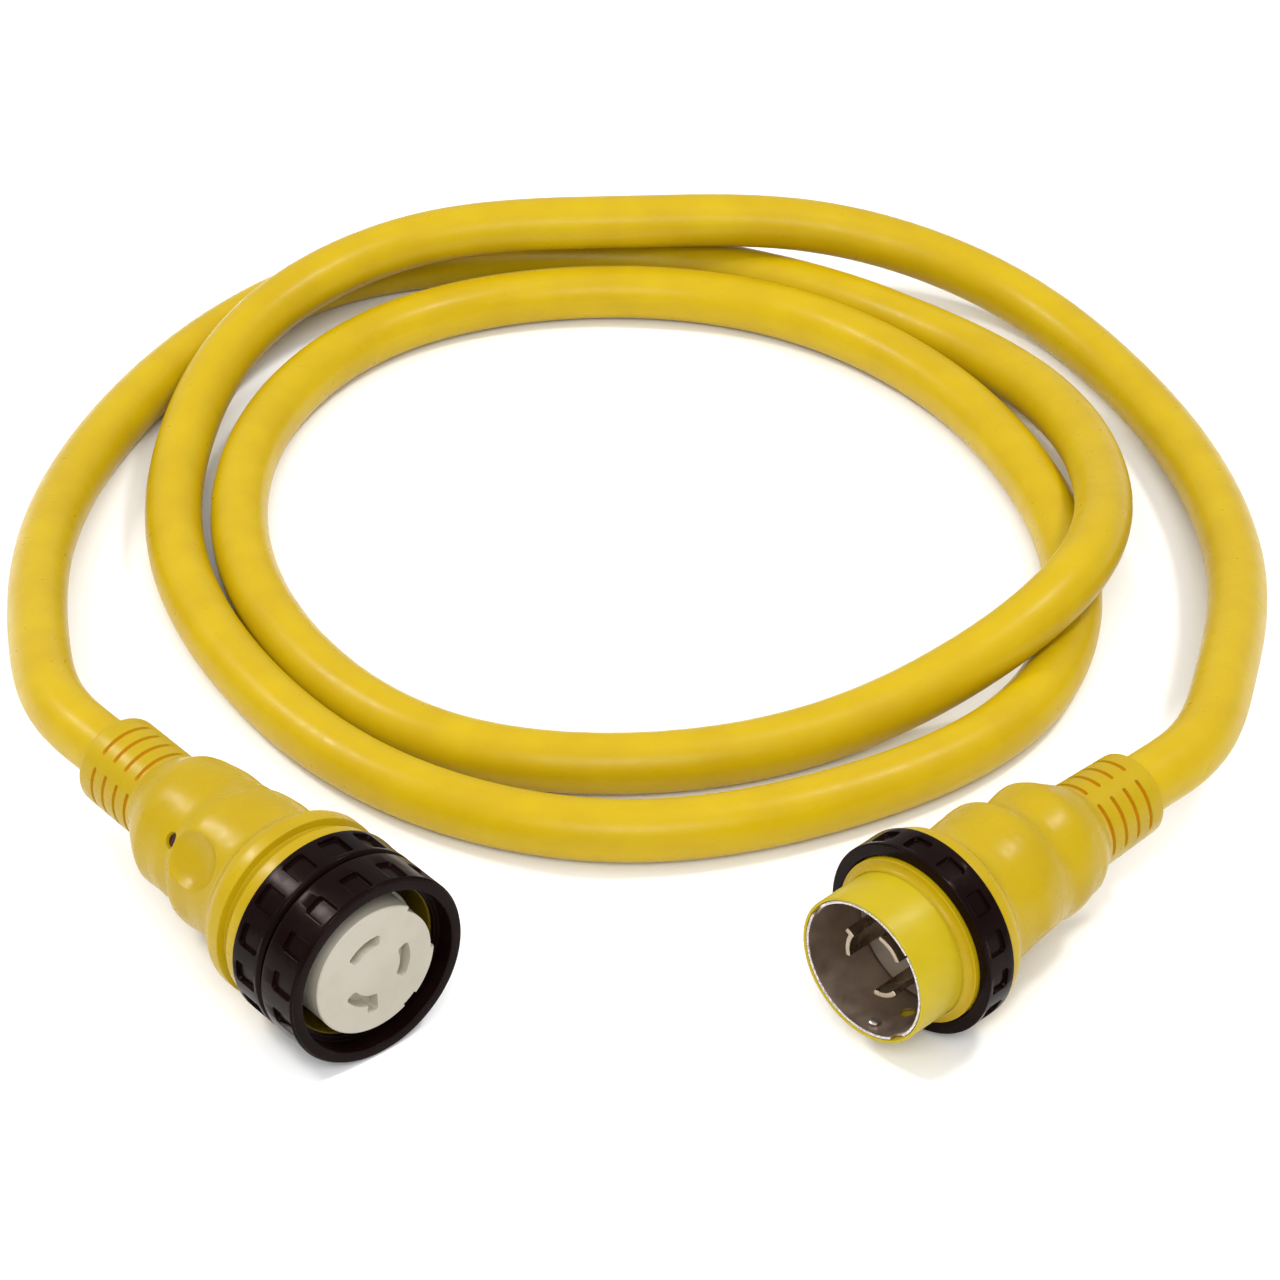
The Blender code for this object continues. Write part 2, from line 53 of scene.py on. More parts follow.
ROUTE = (
    (-237, 155, 33), (-247, 248, 22), (-235, 342, 14), (-197, 429, 13), (-131, 496, 13), (-40, 515, 13),
    (54, 500, 13), (135, 451, 13), (191, 374, 21), (209, 283, 32), (184, 190, 39), (112, 138, 18),
    (23, 106, 13), (-69, 118, 13), (-135, 184, 13), (-166, 273, 13), (-159, 367, 13), (-110, 445, 13),
    (-23, 480, 13), (69, 465, 13), (140, 404, 13), (181, 320, 13), (193, 227, 13), (165, 140, 13),
    (90, 82, 13), (-1, 60, 13), (-89, 91, 13), (-153, 162, 13), (-190, 249, 13), (-196, 343, 16),
    (-167, 432, 28), (-95, 486, 39), (2, 499, 41), (93, 503, 36), (172, 477, 22), (229, 402, 14),
    (257, 312, 16), (261, 219, 24), (243, 126, 35),
)
CABLE_RINGS = 620
CABLE_SIDES = 40


def mm(value):
    return value / 1000.0


# ---------------------------------------------------------------- shapes


def fitting_frame(rear, yaw, height):
    """Matrix from a fitting's own millimetres to the world's metres."""
    turn = Matrix.Rotation(math.radians(yaw), 4, "Z")
    lay = Matrix.Rotation(math.radians(90), 4, "Y") @ Matrix.Rotation(math.radians(180), 4, "Z")
    place = Matrix.Translation((mm(rear[0]), mm(rear[1]), mm(height)))
    return place @ turn @ lay @ Matrix.Scale(0.001, 4)


CONNECTOR = fitting_frame(CONNECTOR_REAR, CONNECTOR_YAW, CONNECTOR_AXIS_HEIGHT)
PLUG = fitting_frame(PLUG_REAR, PLUG_YAW, PLUG_AXIS_HEIGHT)


def polar(radius, angle):
    return (radius * math.cos(math.radians(angle)), radius * math.sin(math.radians(angle)))


def wrapped(angle):
    """Angle brought to -180..180 degrees, for arrays too."""
    return (angle + 180.0) % 360.0 - 180.0


def smoothstep(value):
    value = np.clip(value, 0.0, 1.0)
    return value * value * (3 - 2 * value)


def curve_through(points, step=0.8):
    """Finely spaced points on the curve through these points whose bend changes without a jump."""
    knots = np.array(points, float)
    spans = np.linalg.norm(np.diff(knots, axis=0), axis=1)
    slopes = np.diff(knots, axis=0) / spans[:, None]
    grip = 1.0 / spans
    system = np.eye(len(knots))
    wanted = np.vstack([slopes[:1], 3 * (slopes[:-1].T * grip[:-1] + slopes[1:].T * grip[1:]).T, slopes[-1:]])
    for i in range(1, len(knots) - 1):
        system[i, i - 1] = grip[i - 1]
        system[i, i] = 2 * (grip[i - 1] + grip[i])
        system[i, i + 1] = grip[i]
    tangents = np.linalg.solve(system, wanted)
    fine = []
    for i, span in enumerate(spans):
        for t in np.linspace(0, 1, max(2, math.ceil(span / step) + 1))[:-1]:
            fine.append(
                knots[i] * (2 * t ** 3 - 3 * t ** 2 + 1)
                + tangents[i] * span * (t ** 3 - 2 * t ** 2 + t)
                + knots[i + 1] * (3 * t ** 2 - 2 * t ** 3)
                + tangents[i + 1] * span * (t ** 3 - t ** 2)
            )
    fine.append(knots[-1])
    return [tuple(p) for p in fine]


def rounded(points, fillet=0.4, steps=4, closed=False):
    """The same outline with each corner replaced by a small arc."""
    knots = [Vector(p) for p in points]
    count = len(knots)
    result = []
    for i, corner in enumerate(knots):
        if not closed and i in (0, count - 1):
            result.append(tuple(corner))
            continue
        before = knots[i - 1] - corner
        after = knots[(i + 1) % count] - corner
        reach = min(fillet, before.length * 0.45, after.length * 0.45)
        start = corner + before.normalized() * reach
        end = corner + after.normalized() * reach
        for j in range(steps + 1):
            t = j / steps
            result.append(tuple(start * (1 - t) ** 2 + corner * 2 * t * (1 - t) + end * t ** 2))
    return result


def refined(profile, heights):
    """Profile with extra points at these heights, on the straight runs between its own points."""
    result = [profile[0]]
    for a, b in zip(profile, profile[1:]):
        if a[1] != b[1]:
            cuts = [(h - a[1]) / (b[1] - a[1]) for h in heights]
            for t in sorted(t for t in cuts if 0.001 < t < 0.999):
                result.append((a[0] + (b[0] - a[0]) * t, a[1] + (b[1] - a[1]) * t))
        result.append(b)
    return result


def mesh_object(name, points, faces, fitting=None, angle=35.0):
    """Object from points and faces, shaded smooth with sharp edges kept."""
    mesh = bpy.data.meshes.new(name)
    mesh.from_pydata([tuple(p) for p in points], [], faces)
    body = bmesh.new()
    body.from_mesh(mesh)
    bmesh.ops.remove_doubles(body, verts=body.verts, dist=1e-7 if fitting is None else 1e-4)
    bmesh.ops.recalc_face_normals(body, faces=body.faces)
    body.to_mesh(mesh)
    body.free()
    if fitting is not None:
        mesh.transform(fitting)
    mesh.shade_smooth()
    mesh.set_sharp_from_angle(angle=math.radians(angle))
    obj = bpy.data.objects.new(name, mesh)
    bpy.context.scene.collection.objects.link(obj)
    return obj


def lathe(name, profile, fitting, sides=192, push=None, closed=True, angle=35.0, extra=()):
    """Body turned from (radius, height) points. push(radius, height, angle) returns the changed radius."""
    line = np.array(profile, float)
    turn = np.linspace(0, math.tau, sides, endpoint=False)
    turn = np.unique(np.concatenate([turn, np.radians(extra) % math.tau]))
    sides = len(turn)
    radius = np.repeat(line[:, :1], sides, axis=1)
    height = np.repeat(line[:, 1:2], sides, axis=1)
    around = np.repeat(turn[None, :], len(line), axis=0)
    if push is not None:
        radius = push(radius, height, wrapped(np.degrees(around)))
    points = np.stack([radius * np.cos(around), radius * np.sin(around), height], axis=2).reshape(-1, 3)
    faces = []
    rows = len(line)
    for i in range(rows if closed else rows - 1):
        a, b = i * sides, ((i + 1) % rows) * sides
        for j in range(sides):
            k = (j + 1) % sides
            faces.append((a + j, a + k, b + k, b + j))
    return mesh_object(name, points, faces, fitting, angle)


def arc_outline(inner, outer, start, end, hook=0.0, steps=24):
    """Corner points of a curved bar. A hook turns its end outward."""
    bend = end
    if hook:
        bend = end - math.copysign(math.degrees((outer - inner) / outer), end - start)
    outline = [polar(outer, start + (bend - start) * i / steps) for i in range(steps + 1)]
    if hook:
        outline.append(polar(outer + hook, bend))
        outline.append(polar(outer + hook, end))
    outline += [polar(inner, end - (end - start) * i / steps) for i in range(steps + 1)]
    return outline


def bar(name, outline, low, high, fitting, bevel=0.0):
    """Straight bar of an outline's shape from low to high, its edges rounded over."""
    count = len(outline)
    points = [(x, y, low) for x, y in outline] + [(x, y, high) for x, y in outline]
    faces = [tuple(range(count)), tuple(range(count, 2 * count))]
    faces += [(i, (i + 1) % count, count + (i + 1) % count, count + i) for i in range(count)]
    mesh = bpy.data.meshes.new(name)
    mesh.from_pydata(points, [], faces)
    body = bmesh.new()
    body.from_mesh(mesh)
    bmesh.ops.remove_doubles(body, verts=body.verts, dist=1e-4)
    bmesh.ops.recalc_face_normals(body, faces=body.faces)
    if bevel:
        sharp = [e for e in body.edges if e.calc_face_angle(0.0) > math.radians(30.0)]
        bmesh.ops.bevel(body, geom=sharp, offset=bevel, segments=3, profile=0.5, affect="EDGES")
    body.to_mesh(mesh)
    body.free()
    mesh.transform(fitting)
    mesh.shade_smooth()
    mesh.set_sharp_from_angle(angle=math.radians(35.0))
    obj = bpy.data.objects.new(name, mesh)
    bpy.context.scene.collection.objects.link(obj)
    return obj


def carved(obj, cutters):
    """The object with the cutters' shapes taken out of its mesh; the cutters are then removed."""
    for cutter in cutters:
        modifier = obj.modifiers.new(cutter.name, "BOOLEAN")
        modifier.operation = "DIFFERENCE"
        modifier.solver = "EXACT"
        modifier.object = cutter
    graph = bpy.context.evaluated_depsgraph_get()
    mesh = bpy.data.meshes.new_from_object(obj.evaluated_get(graph))
    obj.modifiers.clear()
    obj.data = mesh
    mesh.shade_smooth()
    mesh.set_sharp_from_angle(angle=math.radians(35.0))
    for cutter in cutters:
        bpy.data.objects.remove(cutter, do_unlink=True)
    return obj


def radial_bar(name, radius, low, high, angle, height, fitting):
    """Round bar that points straight out from the axis, as a cutter or a pin."""
    outline = [polar(radius, 15.0 * i) for i in range(24)]
    aim = Matrix.Rotation(math.radians(angle), 4, "Z") @ Matrix.Rotation(math.radians(90), 4, "Y")
    return bar(name, outline, low, high, fitting @ Matrix.Translation((0.0, 0.0, height)) @ aim)


# ---------------------------------------------------------------- materials


class Nodes:
    """Short calls for the nodes of one material."""

    def __init__(self, name):
        self.material = bpy.data.materials.new(name)
        self.material.use_nodes = True
        self.tree = self.material.node_tree
        self.shader = self.tree.nodes["Principled BSDF"]
        self.place = self.tree.nodes.new("ShaderNodeTexCoord").outputs["Object"]

    def noise(self, scale, detail=3.0, stretch=None, roughness=0.5):
        node = self.tree.nodes.new("ShaderNodeTexNoise")
        node.inputs["Scale"].default_value = scale
        node.inputs["Detail"].default_value = detail
        node.inputs["Roughness"].default_value = roughness
        place = self.place
        if stretch is not None:
            mapping = self.tree.nodes.new("ShaderNodeMapping")
            mapping.inputs["Scale"].default_value = stretch
            self.tree.links.new(place, mapping.inputs["Vector"])
            place = mapping.outputs["Vector"]
        self.tree.links.new(place, node.inputs["Vector"])
        return node.outputs["Fac"]

    def ramp(self, value, low, high, start=0.0, end=1.0):
        """Value moved from low..high to start..end, clamped."""
        node = self.tree.nodes.new("ShaderNodeMapRange")
        self.tree.links.new(value, node.inputs["Value"])
        for name, number in (("From Min", low), ("From Max", high), ("To Min", start), ("To Max", end)):
            node.inputs[name].default_value = number
        return node.outputs["Result"]

    def maths(self, operation, a, b):
        node = self.tree.nodes.new("ShaderNodeMath")
        node.operation = operation
        for socket, value in zip(node.inputs, (a, b)):
            if isinstance(value, (int, float)):
                socket.default_value = value
            else:
                self.tree.links.new(value, socket)
        return node.outputs["Value"]

    def mix(self, share, first, second):
        """Colour between two colours or colour sockets."""
        node = self.tree.nodes.new("ShaderNodeMix")
        node.data_type = "RGBA"
        self.tree.links.new(share, node.inputs["Factor"])
        for name, value in (("A", first), ("B", second)):
            socket = next(s for s in node.inputs if s.name == name and s.type == "RGBA")
            if isinstance(value, tuple):
                socket.default_value = (*value, 1.0)
            else:
                self.tree.links.new(value, socket)
        return next(s for s in node.outputs if s.type == "RGBA")

    def attribute(self, name):
        node = self.tree.nodes.new("ShaderNodeAttribute")
        node.attribute_name = name
        return node.outputs["Fac"]

    def bump(self, *layers):
        """Surface relief from (height value, strength, distance in metres) layers."""
        normal = None
        for value, strength, distance in layers:
            node = self.tree.nodes.new("ShaderNodeBump")
            node.inputs["Strength"].default_value = strength
            node.inputs["Distance"].default_value = distance
            self.tree.links.new(value, node.inputs["Height"])
            if normal is not None:
                self.tree.links.new(normal, node.inputs["Normal"])
            normal = node.outputs["Normal"]
        self.tree.links.new(normal, self.shader.inputs["Normal"])

    def set(self, **values):
        names = {"colour": "Base Color", "roughness": "Roughness", "metallic": "Metallic", "ior": "IOR"}
        names.update(coat="Coat Weight", coat_roughness="Coat Roughness", specular="Specular IOR Level")
        names.update(subsurface="Subsurface Weight", anisotropic="Anisotropic")
        for key, value in values.items():
            socket = self.shader.inputs[names[key]]
            if isinstance(value, tuple):
                socket.default_value = (*value, 1.0)
            elif isinstance(value, (int, float)):
                socket.default_value = value
            else:
                self.tree.links.new(value, socket)


def moulded_yellow(name, bright, deep, roughness):
    """Flexible yellow moulding: faint clouding, a fine skin texture, rubbed spots that shine differently, and painted
    shade: an orange-brown tint in the marked relief slots and a dark yellow on the marked bore and ring gap of the
    connector's neck.
    """
    m = Nodes(name)
    cloud = m.noise(38.0, 4.0)
    grime = m.ramp(m.noise(90.0, 6.0, roughness=0.65), 0.60, 0.78)
    body = m.mix(m.ramp(cloud, 0.35, 0.65), bright, deep)
    dull = tuple(c * k for c, k in zip(deep, (0.93, 0.90, 0.85)))
    m.set(roughness=m.ramp(m.noise(160.0, 4.0), 0.3, 0.7, roughness - 0.07, roughness + 0.07))
    # Painted shade: marked relief slots are tinted orange-brown in colour, standing in for the shade and bounce light
    # inside them.
    painted_slot_shade = m.ramp(m.attribute("painted_slot_shade"), 0.1, 0.6)
    tone = m.mix(m.maths("MULTIPLY", grime, 0.22), body, dull)
    # Painted shade: marked points of the neck's bore and ring gap take 0.3 of the deep yellow.
    tone = m.mix(m.attribute("painted_shade_bore_and_gap"), tone, tuple(c * 0.30 for c in deep))
    m.set(colour=m.mix(painted_slot_shade, tone, (0.62, 0.24, 0.01)), specular=0.17)
    m.bump((m.noise(2600.0, 2.0), 0.04, 0.0002), (m.noise(200.0, 2.0), 0.04, 0.0006))
    return m.material


def black_nylon(name):
    """Glossy black nylon with a brown cast, fine scratches and dull patches."""
    m = Nodes(name)
    m.set(colour=m.mix(m.ramp(m.noise(60.0, 4.0), 0.4, 0.7), (0.0040, 0.0013, 0.0012), (0.0070, 0.0030, 0.0027)))
    m.shader.inputs["Specular Tint"].default_value = (1.0, 0.74, 0.68, 1.0)
    m.set(roughness=m.ramp(m.noise(220.0, 5.0), 0.3, 0.7, 0.16, 0.28), specular=0.055)
    m.bump((m.noise(1500.0, 3.0), 0.06, 0.0002), (m.noise(110.0, 2.0), 0.08, 0.0008))
    return m.material


def ivory_nylon(name, bright, deep):
    """Matt ivory moulding with faint flow marks."""
    m = Nodes(name)
    m.set(colour=m.mix(m.ramp(m.noise(55.0, 4.0), 0.35, 0.7), bright, deep))
    m.set(roughness=m.ramp(m.noise(300.0, 3.0), 0.3, 0.7, 0.42, 0.55))
    m.bump((m.noise(1800.0, 2.0), 0.08, 0.0002), (m.noise(90.0, 2.0), 0.08, 0.0008))
    return m.material


def dull_nickel(name, colour, roughness):
    """Nickel plate, tarnished in clouds, with fine drawing marks."""
    m = Nodes(name)
    dark = tuple(c * 0.72 for c in colour)
    plate = m.mix(m.ramp(m.noise(45.0, 5.0), 0.35, 0.7), colour, dark)
    edge = m.ramp(m.attribute("cut_edge"), 0.4, 0.6)
    hatch = m.mix(m.ramp(m.noise(1400.0, 3.0), 0.4, 0.6), (0.82, 0.77, 0.75), (0.50, 0.46, 0.44))
    m.set(colour=m.mix(edge, plate, hatch), metallic=1.0)
    worn = m.ramp(m.noise(130.0, 5.0), 0.3, 0.7, roughness - 0.08, roughness + 0.08)
    m.set(roughness=m.maths("ADD", worn, m.maths("MULTIPLY", edge, 0.35)))
    m.bump((m.noise(900.0, 3.0, stretch=(1.0, 1.0, 7.0)), 0.10, 0.0002))
    return m.material


def plain(name, colour, roughness, metallic=0.0):
    """Small hidden piece: its own colour, slightly uneven."""
    m = Nodes(name)
    low = tuple(c * 0.85 for c in colour)
    m.set(colour=m.mix(m.ramp(m.noise(200.0, 3.0), 0.35, 0.65), colour, low))
    m.set(roughness=m.ramp(m.noise(400.0, 2.0), 0.3, 0.7, roughness - 0.05, roughness + 0.05))
    m.set(metallic=metallic)
    m.bump((m.noise(1500.0, 2.0), 0.06, 0.0002))
    return m.material


def paint(obj, material):
    obj.data.materials.clear()
    obj.data.materials.append(material)
    return obj


BOOT = moulded_yellow("boot_yellow", (0.395, 0.268, 0.0025), (0.365, 0.242, 0.0025), 0.31)
SLEEVE = moulded_yellow("sleeve_yellow", (0.42, 0.318, 0.006), (0.385, 0.284, 0.005), 0.36)
BLACK = black_nylon("ring_black")
IVORY = ivory_nylon("insert_ivory", (0.40, 0.365, 0.297), (0.365, 0.326, 0.255))
# Painted shade: the plug's base is the same ivory insulator as the insert, painted about half as bright for its place
# deep inside the plug shell.
SHADED_BASE_IVORY = ivory_nylon("base_ivory", (0.20, 0.17, 0.13), (0.17, 0.143, 0.107))
SHELL = dull_nickel("shell_nickel", (0.52, 0.41, 0.335), 0.44)
BLADE = dull_nickel("blade_nickel", (0.41, 0.33, 0.24), 0.27)
BRIGHT = dull_nickel("bright_nickel", (0.60, 0.56, 0.52), 0.30)
RUBBER = plain("gasket_rubber", (0.02, 0.02, 0.02), 0.65)
BRASS = plain("contact_brass", (0.70, 0.52, 0.25), 0.30, 1.0)
LENS = plain("lens_red", (0.035, 0.005, 0.004), 0.10)
LAMP = plain("lamp_ivory", (0.80, 0.75, 0.66), 0.4)
WIRE_PAINT = {
    "line": plain("wire_black", (0.02, 0.02, 0.02), 0.45),
    "neutral": plain("wire_white", (0.80, 0.80, 0.78), 0.45),
    "ground": plain("wire_green", (0.03, 0.30, 0.08), 0.45),
}


def mark(obj, name, fitting, measure):
    """Stores measure(radius, height, angle) in the fitting's frame on every point of the mesh."""
    mesh = obj.data
    flat = np.empty(len(mesh.vertices) * 3)
    mesh.vertices.foreach_get("co", flat)
    back = np.array(fitting.inverted())
    points = flat.reshape(-1, 3) @ back[:3, :3].T + back[:3, 3]
    angle = np.degrees(np.arctan2(points[:, 1], points[:, 0]))
    values = measure(np.hypot(points[:, 0], points[:, 1]), points[:, 2], angle)
    mesh.attributes.new(name, "FLOAT", "POINT").data.foreach_set("value", np.asarray(values, np.float32))


def stand_for(obj, material, slot, body, *nodes):
    """Paints a finer piece, lets it ride on its body and hides the solids that it stands for."""
    if material is not None:
        paint(obj, material)
    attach(obj, body)
    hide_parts(*nodes)
    return obj


# ---------------------------------------------------------------- pieces

CONNECTOR_SLOT_ROWS = (9.3, 16.6, 24.0, 31.4)
PLUG_SLOT_ROWS = (8.3, 15.9, 23.4, 30.9)
INDICATOR = (58.0, 71.5)  # angle, height
CONNECTOR_LEAN = ((43, 0.0), (48, 0.6), (52, 1.2), (56, 0.8), (60, 0.4), (66, 0.6), (70, 0.3), (72, 0.0),
                  (75, 0.7), (78, 1.4), (82, 0.9), (86, 0.4), (90, 0.0))
PLUG_LEAN = ((42, 0.0), (46, 1.0), (50, 1.5), (54, 0.8), (58, 0.3), (66, 0.3), (70, 1.1), (74, 1.8),
             (78, 1.2), (82, 0.4), (88, 0.3), (92, 0.0))


def slot_cut(rows, radius, height, angle, first_angle, depth=2.2, half_width=0.75, half_angle=33.0):
    """Relief slots: how far the surface drops at each point."""
    drop = np.zeros_like(radius)
    for row in rows:
        for quarter in range(4):
            beyond = np.maximum(np.abs(wrapped(angle - first_angle - 90.0 * quarter)) - half_angle, 0.0)
            away = np.hypot(np.radians(beyond) * radius, height - row) - half_width
            drop = np.maximum(drop, depth * smoothstep(0.5 - away / 0.22))
    return drop


def scooped(radius, height, angle, centre_height, centre_angle, floor, ball, soften):
    """Radius after a thumb hollow is taken out: a ball, drawn out toward the cable, with its rim softened."""
    off = np.radians(wrapped(angle - centre_angle))
    ahead = np.where(height < centre_height, 0.75, 1.0) * (height - centre_height)
    centre = floor + ball
    along = np.cos(off) * centre
    room = ball ** 2 - ahead ** 2 - (np.sin(off) * centre) ** 2
    near = np.where(room > 0, along - np.sqrt(np.maximum(room, 0.0)), 1e3)
    near = np.where(np.cos(off) > 0, near, 1e3)
    h = np.clip(0.5 + 0.5 * (near - radius) / soften, 0.0, 1.0)
    return near * (1 - h) + radius * h - soften * h * (1 - h)


def slot_heights(rows):
    return [row + k * 0.13 for row in rows for k in range(-9, 10)]


def tilted(lean, height, angle, side):
    """Swelling of the grip's lobes toward one side, and as much of a dip on the other."""
    stations, amounts = zip(*lean)
    return np.interp(height, stations, amounts) * np.cos(np.radians(angle - side))


def connector_push(radius, height, angle):
    outside = (radius > 24.9) | (height < 36)
    drop = slot_cut(CONNECTOR_SLOT_ROWS, radius, height, angle, 5.0)
    grip = outside & (height > 40) & (height < 106)
    result = radius - np.where(outside & (height < 36), drop, 0.0)
    result = result + np.where(grip, tilted(CONNECTOR_LEAN, height, angle, 128.0), 0.0)
    cut = scooped(result, height, angle, 89.0, INDICATOR[0], 25.0, 17.5, 0.35)
    result = np.where(grip, cut, result)
    across = np.hypot(np.radians(wrapped(angle - INDICATOR[0])) * 27.3 * 0.8, height - INDICATOR[1])
    window = outside & (height > 60) & (height < 80)
    return result - np.where(window, 2.2 * smoothstep(0.5 - (across - 2.5) / 0.4), 0.0)


def build_connector_boot():
    outer = curve_through(
        [
            (38.15, 115.0), (37.6, 113.2), (36.3, 111.0), (34.9, 109.2), (33.2, 107.4), (31.5, 105.6),
            (30.75, 103.0), (30.6, 98.0), (30.6, 92.0), (30.6, 85.5), (30.4, 80.5), (29.5, 77.0), (28.2, 74.0),
            (27.65, 71.4), (27.8, 67.0), (27.85, 62.0), (27.75, 57.5), (27.5, 53.0), (26.5, 48.8), (25.0, 45.0),
            (23.2, 41.6), (20.9, 37.4), (19.2, 34.2),
        ]
    )
    collar = rounded([(31.2, 131.0), (37.3, 131.0), (37.3, 125.0), (34.9, 124.7),
                      (34.9, 120.9), (38.2, 120.5), (38.2, 115.8)], 0.5)
    tail = rounded([(19.2, 34.2), (18.9, 33.2), (18.9, 0.0), (12.8, 0.0)], 1.3, 6)
    inner = rounded([(12.8, 0.0), (0.0, 0.0)], 0.3)
    hollow = [(0.0, 38.0), (9.0, 40.0), (14.0, 47.0), (18.5, 58.0), (18.5, 88.0), (24.0, 98.0), (24.5, 117.0),
              (31.2, 117.0), (31.2, 131.0)]
    around_window = refined(outer, [INDICATOR[1] + 0.25 * k for k in range(-14, 15)])
    relief = refined(tail[1:], slot_heights(CONNECTOR_SLOT_ROWS))
    profile = hollow[:-1] + collar + around_window + relief + inner[1:]
    extra = [INDICATOR[0] + 0.4 * k for k in range(-16, 17)]
    boot = lathe(
        "connector_body", profile, CONNECTOR, sides=288, push=connector_push, closed=False, extra=extra
    )
    # Marks the relief slots for their painted orange-brown shade.
    mark(boot, "painted_slot_shade", CONNECTOR, lambda r, h, a: slot_cut(CONNECTOR_SLOT_ROWS, r, h, a, 5.0, 1.0) * (h < 36))
    stand_for(boot, BOOT, "yellow_overmould", "cord", "connector_boot")
    profile = rounded([(31.2, 131.3), (31.2, 158.0), (35.9, 158.0), (35.9, 131.3)], 0.4, 4, closed=True)
    neck = lathe("connector_neck_yellow", profile, CONNECTOR, 192)
    # Painted shade: the neck's bore and its outer face in the gap between the rings are marked to be painted dark.
    mark(neck, "painted_shade_bore_and_gap", CONNECTOR, lambda r, h, a: ((r < 31.7) | (r > 35.5)) * 1.0)
    stand_for(neck, BOOT, "yellow_overmould", "cord", "connector_neck")
    lens = radial_bar("indicator_dome", 2.5, 23.6, 26.3, *INDICATOR, CONNECTOR)
    stand_for(lens, LENS, "indicator_red", "cord", "indicator_lens")


def plug_push(radius, height, angle):
    outside = (radius > 24.2) | (height < 36)
    drop = slot_cut(PLUG_SLOT_ROWS, radius, height, angle, 25.0)
    grip = outside & (height > 40) & (height < 103)
    result = radius - np.where(outside & (height < 36), drop, 0.0)
    result = result + np.where(grip, tilted(PLUG_LEAN, height, angle, 49.0), 0.0)
    return np.where(grip, scooped(result, height, angle, 80.0, 240.0, 25.3, 40.0, 0.6), result)


def build_plug_boot():
    outer = curve_through(
        [
            (37.45, 110.4), (37.3, 109.0), (36.9, 107.4), (35.9, 105.6), (34.3, 104.0), (32.2, 102.4),
            (30.6, 99.8), (29.9, 95.0), (29.8, 90.0), (30.2, 86.0), (30.4, 82.0), (30.1, 77.5), (29.4, 73.6),
            (28.0, 70.0), (26.7, 66.8), (26.1, 63.4), (26.5, 59.0), (26.9, 55.0), (26.7, 50.4), (25.4, 46.2),
            (23.6, 41.8), (21.3, 37.6), (18.9, 33.9),
        ]
    )
    shoulder = rounded([(29.85, 130.6), (30.0, 129.8), (30.5, 128.9), (31.4, 128.3), (32.6, 128.0), (33.6, 128.0),
                (33.6, 112.6), (37.5, 112.4), (37.5, 111.0)], 0.6)
    tail = rounded([(18.9, 33.9), (18.3, 32.2), (17.4, 0.0), (12.8, 0.0)], 1.3, 6)
    hollow = [(0.0, 38.0), (9.0, 40.0), (14.0, 47.0), (18.0, 56.0), (18.0, 74.0), (23.0, 84.0), (24.0, 104.0),
              (29.85, 104.0)]
    relief = refined(tail[1:], slot_heights(PLUG_SLOT_ROWS))
    profile = hollow + shoulder + outer + relief + [(0.0, 0.0)]
    boot = lathe("plug_body", profile, PLUG, sides=288, push=plug_push, closed=False)
    # Marks the relief slots for their painted orange-brown shade.
    mark(boot, "painted_slot_shade", PLUG, lambda r, h, a: slot_cut(PLUG_SLOT_ROWS, r, h, a, 25.0, 1.0) * (h < 36))
    return stand_for(boot, BOOT, "yellow_overmould", "cord", "plug_boot")


def pockets(floor, low, high, first, half_angle, count=15, corner=1.4, wall=0.35):
    """Push for a ring's rectangular pockets with rounded corners."""
    pitch = 360.0 / count

    def push(radius, height, angle):
        off = np.abs(wrapped((angle - first) * count) / count)
        across = np.radians(off) * radius - np.radians(half_angle) * floor + corner
        along = np.abs(height - (low + high) / 2) - (high - low) / 2 + corner
        outside = np.hypot(np.maximum(across, 0), np.maximum(along, 0))
        away = outside + np.minimum(np.maximum(across, along), 0) - corner
        share = smoothstep(0.5 - away / wall)
        return np.where(radius > floor, radius - (radius - floor) * share, radius)

    assert half_angle < pitch / 2
    return push


def grid_heights(low, high, wall=0.35):
    """Fine heights near a pocket's two ends."""
    near = np.linspace(-wall, wall + 1.2, 9)
    return list(low + near) + list(high - near) + list(np.linspace(low + 2, high - 2, 4))


def build_rings():
    low, high = 134.0, 144.6
    profile = rounded([(36.3, 131.4), (36.3, 147.6), (37.4, 147.6), (38.9, 146.5), (38.9, 131.4)], 0.5, 4, closed=True)
    profile = refined(profile + profile[:1], grid_heights(low, high))[:-1]
    ring = lathe("connector_ring_black", profile, CONNECTOR, 720, pockets(37.3, low, high, 66.0, 7.0))
    stand_for(ring, BLACK, "black_ring", "connector_ring", "connector_lock_ring")

    low, high = 156.0, 166.8
    profile = rounded(
        [(36.3, 148.6), (36.3, 158.6), (31.6, 158.6), (31.6, 160.6), (33.9, 160.6), (33.9, 168.5), (38.2, 168.5),
         (38.2, 167.4), (38.9, 167.3), (38.9, 149.7), (37.4, 148.6)], 0.35, 4, closed=True)
    profile = refined(profile + profile[:1], grid_heights(low, high))[:-1]
    collar = lathe("sealing_collar_black", profile, CONNECTOR, 720, pockets(37.3, low, high, 76.6, 6.0))
    stand_for(collar, BLACK, "black_ring", "collar", "sealing_collar")

    low, high = 116.4, 124.1
    profile = rounded([(34.1, 112.8), (34.1, 126.4), (39.2, 126.4), (39.2, 112.8)], 0.6, 4, closed=True)
    profile = refined(profile + profile[:1], grid_heights(low, high))[:-1]
    ring = lathe("plug_ring_black", profile, PLUG, 720, pockets(37.7, low, high, 293.25, 6.75))
    stand_for(ring, BLACK, "black_ring", "plug_ring", "plug_lock_ring")


